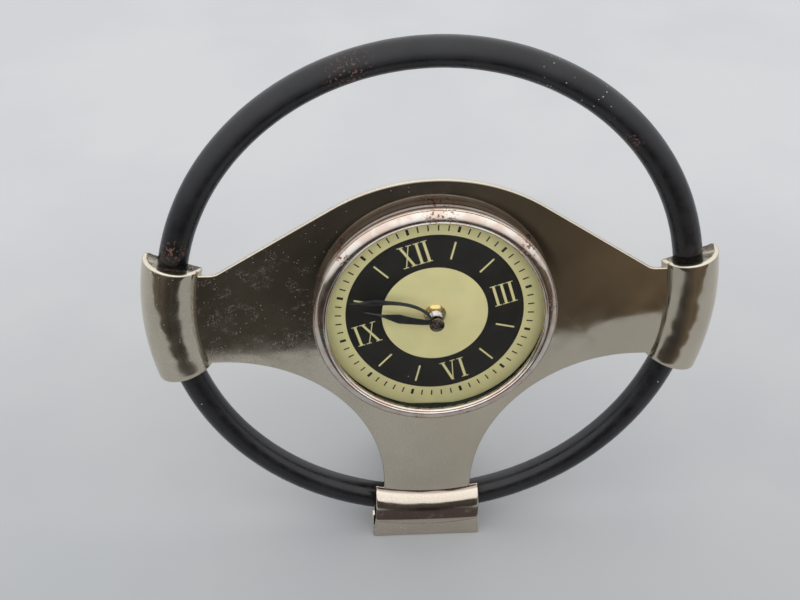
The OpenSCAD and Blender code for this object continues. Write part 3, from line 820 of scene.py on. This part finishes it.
def dial():
    cream = dial_cream()
    cut = math.degrees(math.asin(DIAL_FLAT / DIAL_R))
    face = Shell()
    outline = arc(0, 0, DIAL_R, -cut, 180 + cut, 160)
    face.plate(outline, DIAL_FRONT - DIAL_T, DIAL_FRONT, DIAL_EDGE, DIAL_EDGE, 2)
    face.piece("dial_face", cream, ["dial_plate"])
    ring = Shell()
    near, far = BLACK_RING
    ring.lathe([(near, DIAL_FRONT), (far, DIAL_FRONT), (far, INK_FRONT), (near, INK_FRONT)])
    for minute in range(60):
        width = TICK_W if minute % 5 else HOUR_TICK_W
        bar(ring, 90 + DIAL_TURN - 6 * minute, TICKS, width, DIAL_FRONT, INK_FRONT)
    ring.piece("dial_print", dial_ink(), [])
    marks = Shell()
    for hour in range(12):
        if hour in NUMERALS:
            numeral(marks, hour, INK_FRONT, MARK_FRONT)
        else:
            bar(marks, 90 + DIAL_TURN - 30 * hour, HOUR_MARKS, HOUR_MARK_W, INK_FRONT, MARK_FRONT)
    marks.piece("dial_numerals", cream, [])


# ---- Post and cap nut ----

POST_BORE_R = 2.6
POST_R = 4.0
POST_SHOULDER_R = 6.0
SHOULDER_BACK = PLATE_BACK - 3.0
SHOULDER_FRONT = PLATE_BACK - 2.5
THREAD_R = 3.95
THREAD_ROOT_R = 3.6
THREAD_PITCH = 0.75
POST_CHAMFER = 0.5
CAP_EDGE = 0.5       # rounding of the cap nut's front edge
CAP_BACK_EDGE = 0.2
CAP_WALL = 1.3       # width of the raised border round its dished front
CAP_DISH = 0.3       # depth of the dish
CAP_PIP_R = 0.9      # radius of the pip in the middle


def post():
    low, high = extent("centre_bushing")
    thread_end = high.z - POST_CHAMFER
    line = [(POST_BORE_R, low.z), (POST_R, low.z), (POST_R, SHOULDER_BACK), (POST_SHOULDER_R, SHOULDER_BACK)]
    line += [(POST_SHOULDER_R, SHOULDER_FRONT), (POST_R, SHOULDER_FRONT)]
    for i in range(int((thread_end - PLATE_FRONT) / THREAD_PITCH)):
        z = PLATE_FRONT + i * THREAD_PITCH
        line += [(THREAD_R, z), (THREAD_ROOT_R, z + THREAD_PITCH / 2)]
    line += [(THREAD_R, thread_end), (THREAD_ROOT_R, high.z), (POST_BORE_R, high.z)]
    shell = Shell()
    shell.lathe(line, SMALL_STEPS)
    shell.piece("post", PAINTS["post_nickel"], ["centre_bushing"], sharp=20)


def cap():
    low, high = extent("hand_nut")
    r = high.x
    dish = high.z - CAP_DISH
    line = [(0.0, low.z), (r - CAP_BACK_EDGE, low.z)]
    line += arc(r - CAP_EDGE, high.z - CAP_EDGE, CAP_EDGE, 0, 80, 5)
    line += [(r - CAP_WALL + CAP_DISH, high.z - 0.08), (r - CAP_WALL, dish)]
    line += [(CAP_PIP_R, dish), (CAP_PIP_R - CAP_DISH, high.z - 0.05), (0.0, high.z)]
    shell = Shell()
    shell.lathe(line, SMALL_STEPS)
    shell.piece("hand_cap", PAINTS["cap_nut"], ["hand_nut"], body="minute", sharp=40)


# ---- Hands ----

HAND_T = 0.5         # thickness of a hand's hub
HAND_START = 2.4     # the blade starts at this radius
BLADE_STEPS = 40
BLADE_TOP = 0.2      # the blade's edges lie this far below the hub's face
BLADE_UNDER = 0.15
BLADE_RIDGE = 0.3
HOUR_WIDTHS = ((0, 1.5), (0.3, 2.2), (0.48, 2.9), (0.72, 0.9), (0.95, 0.5), (1, 0.08))
MINUTE_WIDTHS = ((0, 1.0), (0.4, 1.1), (0.55, 1.3), (0.72, 2.1), (0.88, 0.8), (1, 0.08))


def between(table, s):
    """The value at s of a line through the table's (place, value) pairs."""
    for (a, low), (b, high) in zip(table, table[1:]):
        if s <= b:
            return low + (high - low) * (s - a) / (b - a)
    return table[-1][1]


def blade(shell, length, angle, half_widths, bow, drop, top):
    """A leaf-shaped hand with a ridge, curved in its plane and drooping towards its tip."""
    along = Vector((math.cos(math.radians(angle)), math.sin(math.radians(angle))))
    beside = Vector((along.y, -along.x))
    rings = []
    for i in range(BLADE_STEPS + 1):
        s = i / BLADE_STEPS
        half = between(half_widths, s)
        aside = bow * math.sin(math.pi * s ** 0.6)
        middle = along * (HAND_START + (length - HAND_START) * s) + beside * aside
        left = middle + beside * half
        right = middle - beside * half
        z = top - drop * s ** 0.8
        rings.append([(left.x, left.y, z), (middle.x, middle.y, z - BLADE_UNDER), (right.x, right.y, z),
                      (middle.x, middle.y, z + BLADE_RIDGE)])
    shell.rings(rings)


def hand(name, node, body, length, angle, half_widths, bow, drop, hub_r, bore):
    """A hand that points at an angle, bowed sideways and dropping towards the dial."""
    top = extent(node)[1].z
    shell = Shell()
    blade(shell, length, angle, half_widths, bow, drop, top - BLADE_TOP)
    shell.lathe([(bore, top - HAND_T), (hub_r, top - HAND_T), (hub_r, top), (bore, top)], SMALL_STEPS)
    shell.piece(name, PAINTS["hand_black"], [node], body=body, sharp=20)


# ---- Stage ----

FLOOR_HALF = 4.0             # half the floor's width, in metres
# Painted shade: the floor's colour is darker towards the front.
FLOOR_FADE = (-420, 130)     # the floor darkens between these depths
FLOOR_BACK = ((0.455, 0.462, 0.472), (0.48, 0.485, 0.492))
FLOOR_FRONT = ((0.345, 0.355, 0.362), (0.365, 0.37, 0.375))
CARD_LEFT = (-0.75, -0.19)   # a dark card on edge in front of the clock, for the plating to mirror
CARD_RIGHT = (0.75, -0.33)
CARD_FOOT = 0.001
CARD_TOP = 0.16
# Darker and lighter tint of the card's middle, right and left parts
CARD_TINTS = (((0.040, 0.037, 0.034), (0.070, 0.064, 0.056)),
              ((0.10, 0.078, 0.055), (0.17, 0.13, 0.09)),
              ((0.09, 0.08, 0.07), (0.16, 0.14, 0.115)))
# Light from the sky, by how far up it comes from
SKY = ((0.0, (0.75, 0.76, 0.78)), (0.12, (1.05, 1.07, 1.10)),
       (0.5, (1.35, 1.36, 1.38)), (1.0, (1.6, 1.6, 1.6)))
CAMERA_AT = Vector((-59.0, 308.3, 501.8))
CAMERA_FORWARD = Vector((0.0693, -0.5205, -0.8510))
CAMERA_UP = Vector((0.0197, 0.8536, -0.5205))
CAMERA_LENS = 48.2


def stage_plane(name, corners, paint):
    mesh = bpy.data.meshes.new(name)
    mesh.from_pydata(corners, [], [(0, 1, 2, 3)])
    mesh.materials.append(paint)
    thing = bpy.data.objects.new(name, mesh)
    bpy.context.scene.collection.objects.link(thing)
    return thing


def floor():
    p = Paint("floor_paint", Specular_IOR_Level=0.0)
    cloud = p.step(p.noise(160, 4.0), 0.35, 0.65)
    # painted shade: the floor's colour darkens towards the front
    fade = p.step(p.axis(2), *FLOOR_FADE)
    p.set("Base Color", p.mix(fade, p.mix(cloud, *FLOOR_BACK), p.mix(cloud, *FLOOR_FRONT)))
    p.set("Roughness", p.step(p.noise(60, 3.0), 0.3, 0.7, 0.8, 0.95))
    half = FLOOR_HALF
    corners = [(-half, -half, 0), (half, -half, 0), (half, half, 0), (-half, half, 0)]
    stage_plane("floor", corners, p.material)


def dark_card():
    p = Paint("card_paint")
    p.tree.nodes.remove(p.shader)
    # The card glows with its own tinted colour and is seen only in reflections: a painted dark reflection in the
    # plating.
    glow = p.add("ShaderNodeEmission")
    cloud = p.step(p.noise(90, 3.0), 0.3, 0.7)
    middle, right, left = [p.mix(cloud, *tints) for tints in CARD_TINTS]
    colour = p.mix(p.step(p.axis(0), 20, 260), middle, right)
    colour = p.mix(p.step(p.axis(0), -170, -290), colour, left)
    p.tree.links.new(colour, glow.inputs["Color"])
    p.tree.links.new(glow.outputs[0], p.output.inputs["Surface"])
    card = stage_plane("dark_card", [(*CARD_LEFT, CARD_FOOT), (*CARD_RIGHT, CARD_FOOT),
                                     (*CARD_RIGHT, CARD_TOP), (*CARD_LEFT, CARD_TOP)], p.material)
    card.visible_camera = False
    card.visible_diffuse = False
    card.visible_shadow = False


def sky():
    world = bpy.data.worlds.new("overcast")
    bpy.context.scene.world = world
    world.use_nodes = True
    tree = world.node_tree
    coordinates = tree.nodes.new("ShaderNodeTexCoord")
    split = tree.nodes.new("ShaderNodeSeparateXYZ")
    tree.links.new(coordinates.outputs["Generated"], split.inputs[0])
    ramp = tree.nodes.new("ShaderNodeValToRGB")
    ramp.color_ramp.elements[0].color = (*SKY[0][1], 1)
    ramp.color_ramp.elements[1].color = (*SKY[-1][1], 1)
    for place, colour in SKY[1:-1]:
        ramp.color_ramp.elements.new(place).color = (*colour, 1)
    tree.links.new(split.outputs[2], ramp.inputs[0])
    tree.links.new(ramp.outputs[0], tree.nodes["Background"].inputs["Color"])


def camera():
    data = bpy.data.cameras.new("camera")
    data.lens = CAMERA_LENS
    data.sensor_width = 36
    thing = bpy.data.objects.new("camera", data)
    bpy.context.scene.collection.objects.link(thing)
    forward = (turned @ CAMERA_FORWARD).normalized()
    right = forward.cross(turned @ CAMERA_UP).normalized()
    up = right.cross(forward)
    axes = Matrix((right, up, -forward)).transposed()
    thing.matrix_world = Matrix.Translation(FACE @ CAMERA_AT) @ axes.to_4x4()
    bpy.context.scene.camera = thing


camera()
sky()
floor()
dark_card()
rim()
hub()
bezel()
lens()
dial()
post()
cap()
hand("hour_blade", "hour_hand", "hour", length=39, angle=174, half_widths=HOUR_WIDTHS, bow=-1.4, drop=5.0,
     hub_r=3.6, bore=2.55)
hand("minute_blade", "minute_hand", "minute", length=48, angle=168, half_widths=MINUTE_WIDTHS, bow=7.2,
     drop=5.8, hub_r=3.2, bore=1.55)
bpy.context.scene.view_settings.view_transform = "Standard"
